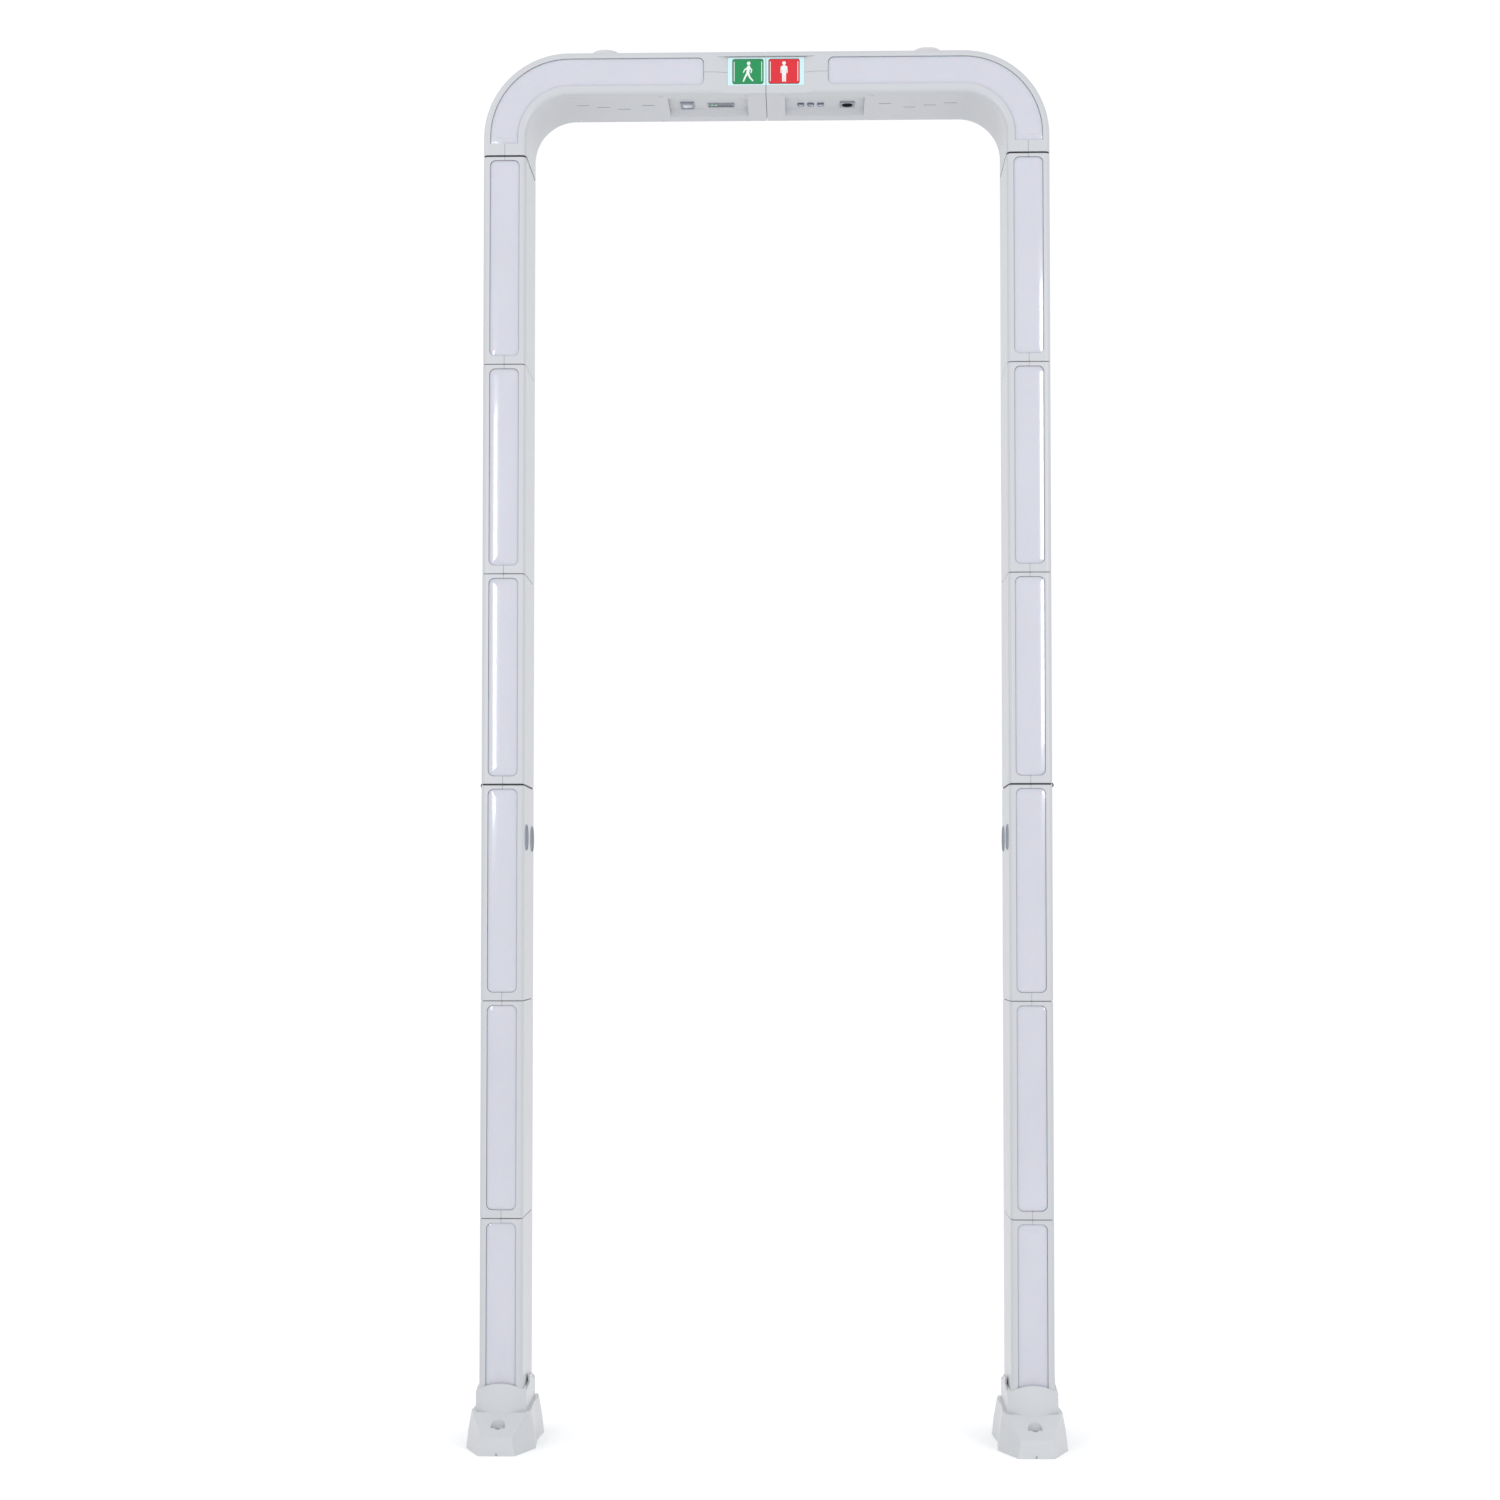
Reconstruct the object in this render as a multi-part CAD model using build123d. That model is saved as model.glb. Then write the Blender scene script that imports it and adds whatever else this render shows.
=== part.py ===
"""Walk-through security gate: a foldable metal-detector arch, in millimetres.

Frame: +Z up, the front faces -Y, origin on the floor under the middle of the passage.
Everything on one side is built for the left (-X) and mirrored for the right. The section of the
arch is described by u, the distance from the passage side outwards, and by y, front to back.
"""
import os
from build123d import *

# --- driving dimensions ---------------------------------------------------------------------
OVERALL_H = 2200.0        # floor to the top of the crossbar
PASSAGE_W = 760.0         # clear width between the legs
SECTION_T = 68.0          # thickness of a leg or of the crossbar
SECTION_D = 140.0         # depth of the arch, front to back
EDGE_R = 8.0              # rounding of the section
WALL = 3.0                # moulded shell
SEAM_U = 34.0             # where the inner and outer shells meet
TOP_JOINT_Z = 2034.0      # legs plug into the corners here
MID_JOINT_Z = 1036.0      # legs fold here
LEG_END_Z = 14.0          # bottom of a leg, inside its foot
CORNER_R = 68.0           # inside bend of the arch
ZONES = 3                 # detection modules in each half leg
JOINT_GAP = 2.5           # dark gap at a plug or fold joint
SEAM_GAP = 0.8            # gap between neighbouring mouldings
EDGE_CHAMFER = 1.0        # at the ends of each moulding

LENS_W = 46.0
CORNER_LENS_W, CORNER_LENS_U = 43.5, 35.2   # a little narrower, and nearer the outer edge
LENS_T = 3.0
LENS_R = 9.0
LENS_TOP = 7.0            # from a module's top to its lens
LENS_BOTTOM = 13.5        # from a module's bottom to its lens
LENS_FIT = 0.3
RIM_W = 38.0              # tabs that hold a lens, behind its ends
FLANGE = 2.5
FLANGE_T = 1.2
CORNER_LENS_X = 98.5      # end of the corner lens on the crossbar
CORNER_LENS_Z = 2054.0    # its other end, above the plug joint

SIGN_X, SIGN_H, SIGN_Z = 62.0, 47.0, 2167.5
SIGN_RECESS, SIGN_RAMP = 4.0, 17.0
SIGN_COVER_T = 2.5

HINGE_R, PIN_R, PIN_FIT, HINGE_FIT = 4.0, 2.0, 0.05, 0.4
FOLD_AXIS_X = 449.0       # leg hinge, just proud of the outer face
FOLD_Y = (-36.0, -16.0, 4.0, 24.0, 44.0, 60.0)   # ends of its knuckles
CENTRE_AXIS_Y = 71.0      # crossbar hinge, just proud of the rear face
CENTRE_Z = (2140.0, 2154.0, 2166.0, 2178.0, 2192.0)

SPIGOT_R, SPIGOT_Y, SPIGOT_L, SOCKET_R = 8.0, 40.0, 60.0, 12.0
BUTTON_R, BUTTON_COLLAR, BUTTON_Z = 4.0, 0.8, 2046.0

SENSOR_R, SENSOR_Y, SENSOR_Z, SENSOR_DOME = 19.0, 38.0, 954.0, 2.4
CAP_X, CAP_Y, CAP_R, CAP_H = 257.0, -29.0, 23.0, 11.0

TRAY_X = (30.0, 157.0)    # recess under each half of the crossbar
TRAY_Y = (-46.0, 41.0)
TRAY_SLOPE = 14.0
TRAY_DEEP = 8.0
TRAY_WALL = 2.0
PANEL_Y = 8.0             # line of the controls in the recesses
ROCKER_X, BEZEL_W, BEZEL_L = 128.0, 22.0, 30.0
DISPLAY_X, DISPLAY_W, DISPLAY_L = 73.5, 43.0, 18.0
KEY_X = {"menu_key": 55.0, "level_key": 71.0, "alarm_key": 87.0}
KEY_W, KEY_L = 10.0, 12.0
SOCKET_X, SOCKET_FLANGE, INLET_R, INLET_DEEP = 130.0, 24.0, 8.0, 8.0
SCREW_X, SCREW_Y, SCREW_HEAD_R, SCREW_R = (31.0, 168.0, 305.0), 57.0, 3.8, 1.5
VENTS = ((190.0, -15.0), (230.0, 2.0), (263.0, -7.0), (295.0, -16.0))
VENT_L, VENT_W = 20.0, 2.6

FOOT_HALF_D = 118.0
# height, then side width, waist, side corner, front width and front of each outline of the base
FOOT_RINGS = ((0.0, 54.5, 50.0, 60.0, 28.0, FOOT_HALF_D),
              (28.0, 51.5, 48.0, 59.0, 24.0, FOOT_HALF_D - 2),
              (58.5, 46.5, 44.0, 56.0, 43.0, 76.0))
COLLAR_HALF_W, COLLAR_FRONT, COLLAR_BULGE = 39.5, 72.0, 7.0
COLLAR_TOP, COLLAR_SIDE = 103.0, 89.0
TONGUE_TOP, TONGUE_SHOULDER, TONGUE_T = 104.0, 95.0, 3.0
TONGUE_HALF_TOP, TONGUE_HALF_BASE = 14.0, 56.0
FOOT_BOLT_Y, FOOT_BOLT_R, FOOT_BORE_R, FOOT_BORE_Z = 98.0, 5.5, 11.0, 39.0

LED_PITCH, LED_SIZE, LED_H = 38.0, 5.0, 1.5
BOARD_W, BOARD_T, BOARD_Y = 20.0, 1.6, 56.0
COIL_W, COIL_BAND, COIL_T, COIL_R = 92.0, 8.0, 6.0, 20.0
LIP_INSET, LIP_CLEAR, PLUG_DEEP = 1.5, 0.15, 4.2
ROCKER_TILT, ROCKER_AXIS_H = 8.0, 4.0
MAIN_BOARD_X, MAIN_BOARD_Y, MAIN_BOARD_H = (-270.0, -30.0), (-48.0, 46.0), 26.0
# x, y, width, length and height of each chip or can on the main board
CHIPS = ((-90.0, -10.0, 16.0, 16.0, 2.4), (-150.0, 12.0, 12.0, 20.0, 2.4),
         (-215.0, -18.0, 26.0, 18.0, 9.0), (-235.0, 24.0, 12.0, 12.0, 14.0),
         (-55.0, 24.0, 10.0, 8.0, 5.0))

# --- worked out from them --------------------------------------------------------------------
BAR_BOTTOM = OVERALL_H - SECTION_T
HALF_PASSAGE = PASSAGE_W / 2
LEG_X = -(HALF_PASSAGE + SECTION_T / 2)
SEAM_X = -(HALF_PASSAGE + SEAM_U)
LENS_BAR_Z = BAR_BOTTOM + CORNER_LENS_U
ROOF = BAR_BOTTOM + TRAY_DEEP               # underside of a recess
BEND_X = HALF_PASSAGE - CORNER_R            # centre of the bend
BEND_Z = BAR_BOTTOM - CORNER_R
FRONT = SECTION_D / 2
UPPER_PITCH = (TOP_JOINT_Z - MID_JOINT_Z) / ZONES
LOWER_PITCH = 339.3
FAR = 3000.0


def box(x, y, z):
    """A box from three (low, high) pairs."""
    size = [high - low for low, high in (x, y, z)]
    middle = [(high + low) / 2 for low, high in (x, y, z)]
    return Pos(*middle) * Box(*size)


def bar_y(radius, x, z, y):
    """A round bar along Y."""
    middle = (y[0] + y[1]) / 2
    return Pos(x, middle, z) * Rot(90, 0, 0) * Cylinder(radius, abs(y[1] - y[0]))


def bar_z(radius, x, y, z):
    """A round bar along Z."""
    return Pos(x, y, (z[0] + z[1]) / 2) * Cylinder(radius, abs(z[1] - z[0]))


def cap(radius, rise):
    """A shallow domed cap standing on the XY plane."""
    ball_r = (radius ** 2 + rise ** 2) / (2 * rise)
    middle = (radius / 2, (ball_r ** 2 - radius ** 2 / 4) ** 0.5 - ball_r + rise)
    line = [Line((0, 0), (radius, 0)),
            ThreePointArc((radius, 0), middle, (0, rise)),
            Line((0, rise), (0, 0))]
    return revolve(Plane.XZ * make_face(line), axis=Axis.Z)


def slab_x(points, x):
    """An outline of (y, z) points carried along X."""
    face = Plane(origin=(x[0], 0, 0), x_dir=(0, 1, 0), z_dir=(1, 0, 0)) * Polygon(*points, align=None)
    return extrude(face, amount=x[1] - x[0], dir=(1, 0, 0))


def section(inset=0.0, wall=None):
    """The arch's rounded section in (u, y), whole or hollow."""
    face = RectangleRounded(SECTION_T - 2 * inset, SECTION_D - 2 * inset, EDGE_R - inset)
    if wall:
        face -= RectangleRounded(SECTION_T - 2 * wall, SECTION_D - 2 * wall, EDGE_R - wall)
    return Pos(SECTION_T / 2, 0) * face


def part_of(face, u):
    """The stretch of a section between two values of u."""
    return face & (Pos((u[0] + u[1]) / 2, 0) * Rectangle(u[1] - u[0], SECTION_D + 10))


def leg_plane(z):
    """Where the section lies across the leg."""
    return Plane(origin=(-HALF_PASSAGE, 0, z), x_dir=(-1, 0, 0), z_dir=(0, 0, -1))


def leg_run(face, top, bottom):
    """A section carried down the leg."""
    return extrude(leg_plane(top) * face, amount=top - bottom)


def outer_and_inner(tube):
    """Splits a leg moulding at the seam into its outer and inner shells."""
    half = SEAM_GAP / 4
    y = (-SECTION_D, SECTION_D)
    outer = tube & box((-FAR, SEAM_X - half), y, (-FAR, FAR))
    inner = tube & box((SEAM_X + half, 0), y, (-FAR, FAR))
    return outer, inner


def plate(width, height, radius, y, z_mid):
    """A rounded plate facing front or back on a leg's lens line."""
    face = Plane(origin=(LEG_X, y[0], z_mid), x_dir=(1, 0, 0), z_dir=(0, 1, 0))
    return extrude(face * RectangleRounded(width, height, radius), amount=y[1] - y[0])


def both_faces(solid):
    """A piece of the front and its copy on the rear."""
    return [solid, mirror(solid, about=Plane.XZ)]


# --- legs ------------------------------------------------------------------------------------
def leg_zone(z_top, z_bottom, top_cut, bottom_cut):
    """Shells, lenses, LED boards and winding of one detection module."""
    top, bottom = z_top - top_cut, z_bottom + bottom_cut
    block = leg_run(section(), top, bottom)
    ends = block.edges().group_by(Axis.Z)
    block = chamfer(ends[0] + ends[-1], EDGE_CHAMFER)
    tube = block - leg_run(section(inset=WALL), top + 1, bottom - 1)
    lens_h = (z_top - LENS_TOP) - (z_bottom + LENS_BOTTOM)
    lens_z = z_bottom + LENS_BOTTOM + lens_h / 2
    fit = 2 * LENS_FIT
    window = plate(LENS_W + fit, lens_h + fit, LENS_R + LENS_FIT, (-FRONT - 1, -FRONT + 6), lens_z)
    tube -= both_faces(window)
    outer, inner = outer_and_inner(tube)
    lens = plate(LENS_W, lens_h, LENS_R, (-FRONT, -FRONT + LENS_T), lens_z)
    lens &= leg_run(section(), z_top, z_bottom)
    rim = plate(RIM_W, lens_h + 2 * FLANGE, LENS_R,
                (-FRONT + WALL, -FRONT + WALL + FLANGE_T), lens_z)
    board = led_board(lens_z, lens_h - 14)
    return outer, inner, both_faces(lens + rim), both_faces(board), winding(lens_z, lens_h - 20)


def led_board(z_mid, height):
    """A narrow board behind a lens with a line of LEDs facing it."""
    board = box((LEG_X - BOARD_W / 2, LEG_X + BOARD_W / 2), (-BOARD_Y, -BOARD_Y + BOARD_T),
                (z_mid - height / 2, z_mid + height / 2))
    count = int((height - LED_SIZE) // LED_PITCH) + 1
    half = LED_SIZE / 2
    for i in range(count):
        z = z_mid + (i - (count - 1) / 2) * LED_PITCH
        board += box((LEG_X - half, LEG_X + half), (-BOARD_Y - LED_H, -BOARD_Y), (z - half, z + half))
    return board


def winding(z_mid, height):
    """The flat rectangular coil inside a module, lying across the passage."""
    face = RectangleRounded(COIL_W, height, COIL_R)
    face -= RectangleRounded(COIL_W - 2 * COIL_BAND, height - 2 * COIL_BAND, COIL_R - COIL_BAND)
    spot = Plane(origin=(LEG_X - COIL_T / 2, 0, z_mid), x_dir=(0, 1, 0), z_dir=(1, 0, 0))
    return extrude(spot * face, amount=COIL_T)


def bulkhead(joint, above):
    """The dark end plate of a leg or corner: a lip in the joint's gap and a plug in the shells."""
    way = 1 if above else -1
    levels = [joint + way * d for d in (LIP_CLEAR, JOINT_GAP / 2, PLUG_DEEP)]
    lip = leg_run(section(inset=LIP_INSET), max(levels[:2]), min(levels[:2]))
    return lip + leg_run(section(inset=WALL + 0.1), max(levels[1:]), min(levels[1:]))


def fold_knuckles(upper):
    """Every other knuckle of a leg's fold hinge, each on a short arm from its bulkhead."""
    way = 1 if upper else -1
    solids = []
    for i, span in enumerate(zip(FOLD_Y[:-1], FOLD_Y[1:])):
        if (i % 2 == 0) != upper:
            continue
        y = (span[0] + 0.2, span[1] - 0.2)
        z = sorted((MID_JOINT_Z + way * LIP_CLEAR, MID_JOINT_Z + way * HINGE_R))
        solids.append(bar_y(HINGE_R, -FOLD_AXIS_X, MID_JOINT_Z, y))
        solids.append(box((-FOLD_AXIS_X, -FOLD_AXIS_X + HINGE_R + 6), y, z))
    return solids


def fold_room():
    """The space that the fold hinge's knuckles turn in."""
    y = (FOLD_Y[0] - 0.3, FOLD_Y[-1] + 0.3)
    return bar_y(HINGE_R + HINGE_FIT, -FOLD_AXIS_X, MID_JOINT_Z, y)


def fold_arm_room(upper):
    """The notch in a shell or bulkhead for the arms of its own knuckles."""
    way = 1 if upper else -1
    z = sorted((MID_JOINT_Z, MID_JOINT_Z + way * (HINGE_R + 0.2)))
    y = (FOLD_Y[0] - 0.3, FOLD_Y[-1] + 0.3)
    return box((-FOLD_AXIS_X - 5, -HALF_PASSAGE - SECTION_T + WALL), y, z)


def fold_bore():
    """The bore of the fold pin through all its knuckles."""
    return bar_y(PIN_R + PIN_FIT, -FOLD_AXIS_X, MID_JOINT_Z, (FOLD_Y[0] - 5, FOLD_Y[-1] + 5))


def knee_bulkhead(upper):
    """A bulkhead of the fold joint with its knuckles."""
    solid = bulkhead(MID_JOINT_Z, upper) - fold_room()
    for knuckle in fold_knuckles(upper):
        solid += knuckle
    return solid - fold_bore()


def plug_bulkhead():
    """The top of a leg: a bulkhead with two hollow spigots that stand up into the corner."""
    solid = bulkhead(TOP_JOINT_Z, above=False)
    for y in (-SPIGOT_Y, SPIGOT_Y):
        solid += bar_z(SPIGOT_R, LEG_X, y, (TOP_JOINT_Z - PLUG_DEEP, TOP_JOINT_Z + SPIGOT_L))
        solid -= bar_z(SPIGOT_R - 2.5, LEG_X, y, (TOP_JOINT_Z - PLUG_DEEP - 1, FAR))
    return solid


def socket_bulkhead():
    """The bottom of a corner: a bulkhead with the two sockets of the spigots."""
    solid = bulkhead(TOP_JOINT_Z, above=True)
    floor = TOP_JOINT_Z + LIP_CLEAR
    for y in (-SPIGOT_Y, SPIGOT_Y):
        solid += bar_z(SOCKET_R, LEG_X, y, (TOP_JOINT_Z + 1, TOP_JOINT_Z + SPIGOT_L + 4))
        solid -= bar_z(SPIGOT_R + PIN_FIT, LEG_X, y, (floor - 1, FAR))
    return solid


def half_leg(upper):
    """The modules of the upper or lower half of the left leg, as named groups of solids."""
    pitch = UPPER_PITCH if upper else LOWER_PITCH
    top = TOP_JOINT_Z if upper else MID_JOINT_Z
    names = ("outer_shells", "inner_shells", "lenses", "led_boards", "coil_windings")
    groups = {name: [] for name in names}
    for i in range(ZONES):
        z_top = top - i * pitch
        z_bottom = z_top - pitch
        if not upper and i == ZONES - 1:
            z_bottom = LEG_END_Z
        top_cut = JOINT_GAP / 2 if i == 0 else SEAM_GAP / 2
        last = upper and i == ZONES - 1
        solids = leg_zone(z_top, z_bottom, top_cut, JOINT_GAP / 2 if last else SEAM_GAP / 2)
        for name, made in zip(names, solids):
            groups[name] += made if isinstance(made, list) else [made]
    knee = 0 if not upper else ZONES - 1
    groups["outer_shells"][knee] -= [fold_room(), fold_arm_room(upper)]
    return groups


# --- people-counting sensors ------------------------------------------------------------------
def sensor_spot(y, x):
    """A plane that faces the passage at a sensor's place."""
    return Plane(origin=(x, y, SENSOR_Z), x_dir=(0, 1, 0), z_dir=(1, 0, 0))


def sensor(y):
    """A domed window on the passage side with its round body inside the leg."""
    body = extrude(sensor_spot(y, -HALF_PASSAGE - 12) * Circle(SENSOR_R - 3), amount=12)
    return sensor_spot(y, -HALF_PASSAGE) * cap(SENSOR_R, SENSOR_DOME) + body


def sensor_holes():
    """Clearance for the sensors' bodies in the inner shell."""
    hole = Circle(SENSOR_R - 3 + 0.3)
    return [extrude(sensor_spot(y, -HALF_PASSAGE - 8) * hole, amount=12) for y in (-SENSOR_Y, SENSOR_Y)]


# --- corner and crossbar half -----------------------------------------------------------------
def bar_plane(x):
    """Where the section lies across the crossbar."""
    return Plane(origin=(-x, 0, BAR_BOTTOM), x_dir=(0, 0, 1), z_dir=(-1, 0, 0))


def arch_run(face, x_start=SEAM_GAP / 2, z_end=TOP_JOINT_Z + JOINT_GAP / 2):
    """A section carried from the middle of the crossbar, round the bend, to the plug joint."""
    bar = extrude(bar_plane(x_start) * face, amount=BEND_X - x_start)
    bend_axis = Axis((-BEND_X, 0, BEND_Z), (0, -1, 0))
    bend = revolve(bar_plane(BEND_X) * face, axis=bend_axis, revolution_arc=90)
    return bar + bend + leg_run(face, BEND_Z, z_end)


def corner_strip(half_w, x_start, z_end, end_r, y):
    """A flat strip on the corner's lens line that follows the arch round the bend."""
    top = (BEND_X + x_start) / 2
    bar = Pos(-top, LENS_BAR_Z) * Rectangle(BEND_X - x_start, 2 * half_w)
    bar = fillet(bar.vertices().group_by(Axis.X)[-1], end_r)
    mid_r = CORNER_R + CORNER_LENS_U
    ring = Circle(mid_r + half_w) - Circle(mid_r - half_w)
    quarter = Pos(-FAR / 2, FAR / 2) * Rectangle(FAR, FAR)
    bend = Pos(-BEND_X, BEND_Z) * (ring & quarter)
    leg = Rectangle(2 * half_w, BEND_Z - z_end)
    leg = Pos(-HALF_PASSAGE - CORNER_LENS_U, (BEND_Z + z_end) / 2) * leg
    face = Plane(origin=(0, y[1], 0), x_dir=(1, 0, 0), z_dir=(0, -1, 0)) * (bar + bend + leg)
    return extrude(face, amount=y[1] - y[0])


def corner_lens():
    """The milky cover of a corner, with the rim that holds it behind the shells."""
    lens = corner_strip(CORNER_LENS_W / 2, CORNER_LENS_X, CORNER_LENS_Z,
                        LENS_R, (-FRONT, -FRONT + LENS_T))
    lens &= arch_run(section())
    rim = corner_strip(RIM_W / 2, CORNER_LENS_X - FLANGE, CORNER_LENS_Z - FLANGE,
                       LENS_R, (-FRONT + WALL, -FRONT + WALL + FLANGE_T))
    return lens + rim


def corner_board():
    """The LED board of a corner, one curved strip with its LEDs along the crossbar and the leg."""
    board = corner_strip(BOARD_W / 2, CORNER_LENS_X + 8, CORNER_LENS_Z + 6, 3.0,
                         (-BOARD_Y, -BOARD_Y + BOARD_T))
    half = LED_SIZE / 2
    for i in range(6):
        x = -(CORNER_LENS_X + 20 + i * LED_PITCH)
        board += box((x - half, x + half), (-BOARD_Y - LED_H, -BOARD_Y),
                     (LENS_BAR_Z - half, LENS_BAR_Z + half))
    return board


def tray(x, grow=0.0):
    """A recess under the crossbar with an end-on profile that slopes at the back."""
    base = BAR_BOTTOM - 5 * (grow == 0)
    low, high = TRAY_Y[0] - grow, TRAY_Y[1] + grow
    points = [(low, base), (low, BAR_BOTTOM + TRAY_DEEP + grow),
              (high - TRAY_SLOPE, BAR_BOTTOM + TRAY_DEEP + grow), (high, BAR_BOTTOM), (high, base)]
    if grow:
        points = points[:4]
    return slab_x(points, (x[0] - grow, x[1] + grow))


def panel_holes(left):
    """Openings in the roof of a recess for the controls."""
    z = (BAR_BOTTOM + 5, BAR_BOTTOM + 30)
    if left:
        w, l = BEZEL_W / 2 - 1, BEZEL_L / 2 - 1
        holes = [(-ROCKER_X, w, l), (-DISPLAY_X, DISPLAY_W / 2 - 1, DISPLAY_L / 2 - 1)]
    else:
        holes = [(-x, KEY_W / 2 + 0.3, KEY_L / 2 + 0.3) for x in KEY_X.values()]
        holes.append((-SOCKET_X, SOCKET_FLANGE / 2 - 2, SOCKET_FLANGE / 2 - 2))
    return [box((x - w, x + w), (PANEL_Y - l, PANEL_Y + l), z) for x, w, l in holes]


def centre_room():
    """The space of the crossbar hinge in both halves."""
    return box((-5.5, 5.5), (60, 80), (CENTRE_Z[0] - 0.3, CENTRE_Z[-1] + 0.3))


def screw_spots():
    """Where the underside screws stand."""
    return [(-x, y) for x in SCREW_X for y in (-SCREW_Y, SCREW_Y)]


def sign_recess(deeper=0.0):
    """The shallow saddle in the front of the crossbar, with ramps at its ends."""
    y = -FRONT + SIGN_RECESS + deeper
    start = -SIGN_X - deeper
    end = start - SIGN_RAMP
    points = [(0, y), (start, y), (end, -FRONT + deeper), (end, -FRONT - 2), (0, -FRONT - 2)]
    z = (BAR_BOTTOM - 1, SIGN_Z + SIGN_H / 2)
    face = Pos(0, 0, z[0]) * Polygon(*points, align=None)
    return extrude(face, amount=z[1] - z[0], dir=(0, 0, 1))


def crossbar_core(u):
    """The inside of the crossbar between two values of u, up to its middle."""
    face = part_of(section(), u)
    return extrude(bar_plane(SEAM_GAP / 2) * face, amount=BEND_X)


def sign_opening():
    """The window in the saddle, behind the clear cover."""
    z = (SIGN_Z - SIGN_H / 2 + 1, SIGN_Z + SIGN_H / 2 - 1)
    return box((-SIGN_X + 1, 1), (-FRONT - 1, -FRONT + 12), z)


def corner_shells(left):
    """Outer and inner shells of one half of the crossbar with its corner."""
    tube = section(wall=WALL)
    half = SEAM_GAP / 4
    shells = []
    for u in ((SEAM_U + half, SECTION_T), (0, SEAM_U - half)):
        backing = sign_recess(WALL) & crossbar_core(u)
        shells.append(arch_run(part_of(tube, u)) + backing)
    outer, inner = shells
    window = corner_strip(CORNER_LENS_W / 2 + LENS_FIT, CORNER_LENS_X - LENS_FIT,
                          CORNER_LENS_Z - LENS_FIT, LENS_R, (-FRONT - 1, -FRONT + 6))
    cuts = both_faces(window)
    cuts += [sign_recess(), sign_opening()]
    cuts.append(centre_room())
    cuts.append(bar_y(BUTTON_R + 0.3, LEG_X, BUTTON_Z, (FRONT - 6, FRONT + 1)))
    outer -= cuts
    inner -= cuts
    x = (-TRAY_X[1], -TRAY_X[0])
    inner += tray(x, grow=TRAY_WALL)
    inner -= tray(x)
    inner -= panel_holes(left)
    for sx, sy in screw_spots():
        inner -= bar_z(SCREW_R + 0.3, sx, sy, (BAR_BOTTOM - 1, BAR_BOTTOM + 6))
        inner -= bar_z(SCREW_HEAD_R + 0.3, sx, sy, (BAR_BOTTOM - 1, BAR_BOTTOM + 1.6))
    for vx, vy in VENTS:
        inner -= box((-vx - VENT_L / 2, -vx + VENT_L / 2), (vy - VENT_W / 2, vy + VENT_W / 2),
                     (BAR_BOTTOM - 1, BAR_BOTTOM + 6))
    outer -= bar_z(5.0, -CAP_X, CAP_Y, (OVERALL_H - 6, OVERALL_H + 1))
    return outer, inner


def underside_screws():
    """Screws that hold the inner shell up to the outer one."""
    solids = []
    for x, y in screw_spots():
        head = bar_z(SCREW_HEAD_R, x, y, (BAR_BOTTOM + 0.2, BAR_BOTTOM + 1.6))
        shank = bar_z(SCREW_R, x, y, (BAR_BOTTOM + 1.6, BAR_BOTTOM + 16))
        slot = box((x - 2, x + 2), (y - 0.5, y + 0.5), (BAR_BOTTOM - 1, BAR_BOTTOM + 0.9))
        solids.append(head + shank - slot)
    return solids


def sign_window():
    """The clear cover of one half of the walk or wait sign."""
    y = (-FRONT + SIGN_RECESS, -FRONT + SIGN_RECESS + SIGN_COVER_T)
    z = (SIGN_Z - SIGN_H / 2 + 1.2, SIGN_Z + SIGN_H / 2 - 1.2)
    return box((-SIGN_X + 1.2, -SEAM_GAP / 2), y, z)


def top_cap():
    """A low round cap on top of the crossbar, held by a stem through the shell."""
    disc = bar_z(CAP_R, -CAP_X, CAP_Y, (OVERALL_H, OVERALL_H + CAP_H))
    disc = fillet(disc.edges().sort_by(Axis.Z)[-1], 4)
    return disc + bar_z(4.7, -CAP_X, CAP_Y, (OVERALL_H - 8, OVERALL_H))


def centre_leaf(left):
    """One leaf of the crossbar hinge: knuckles, arms and the plate inside the rear wall."""
    plate_z = (CENTRE_Z[0] + 5, CENTRE_Z[-1] - 5)
    leaf = box((-58, -SEAM_GAP / 2), (FRONT - WALL - 3, FRONT - WALL - 0.1), plate_z)
    for i, span in enumerate(zip(CENTRE_Z[:-1], CENTRE_Z[1:])):
        if (i % 2 == 0) != left:
            continue
        z = (span[0] + 0.2, span[1] - 0.2)
        leaf += bar_z(HINGE_R, 0, CENTRE_AXIS_Y, z)
        leaf += box((-5, -SEAM_GAP / 2), (FRONT - WALL - 3, CENTRE_AXIS_Y), z)
        leaf -= bar_z(PIN_R + PIN_FIT, 0, CENTRE_AXIS_Y, (z[0] - 1, z[1] + 1))
    for i, span in enumerate(zip(CENTRE_Z[:-1], CENTRE_Z[1:])):
        if (i % 2 == 0) != left:
            leaf -= bar_z(HINGE_R + HINGE_FIT, 0, CENTRE_AXIS_Y, (span[0] - 0.1, span[1] + 0.1))
    return leaf


def release_button():
    """The sprung button behind a plug joint: a cap in the rear wall with a collar inside."""
    inside = FRONT - WALL - 0.2
    button = bar_y(BUTTON_R, LEG_X, BUTTON_Z, (inside, FRONT + 1.6))
    return button + bar_y(BUTTON_R + BUTTON_COLLAR, LEG_X, BUTTON_Z, (inside - 1.5, inside))


# --- controls under the crossbar --------------------------------------------------------------
def panel_block(x, half, inset, z):
    """A rectangular block on the line of the controls, drawn in by an inset in x and in y."""
    w, l = half[0] - inset[0], half[1] - inset[1]
    return box((x - w, x + w), (PANEL_Y - l, PANEL_Y + l), z)


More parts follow.
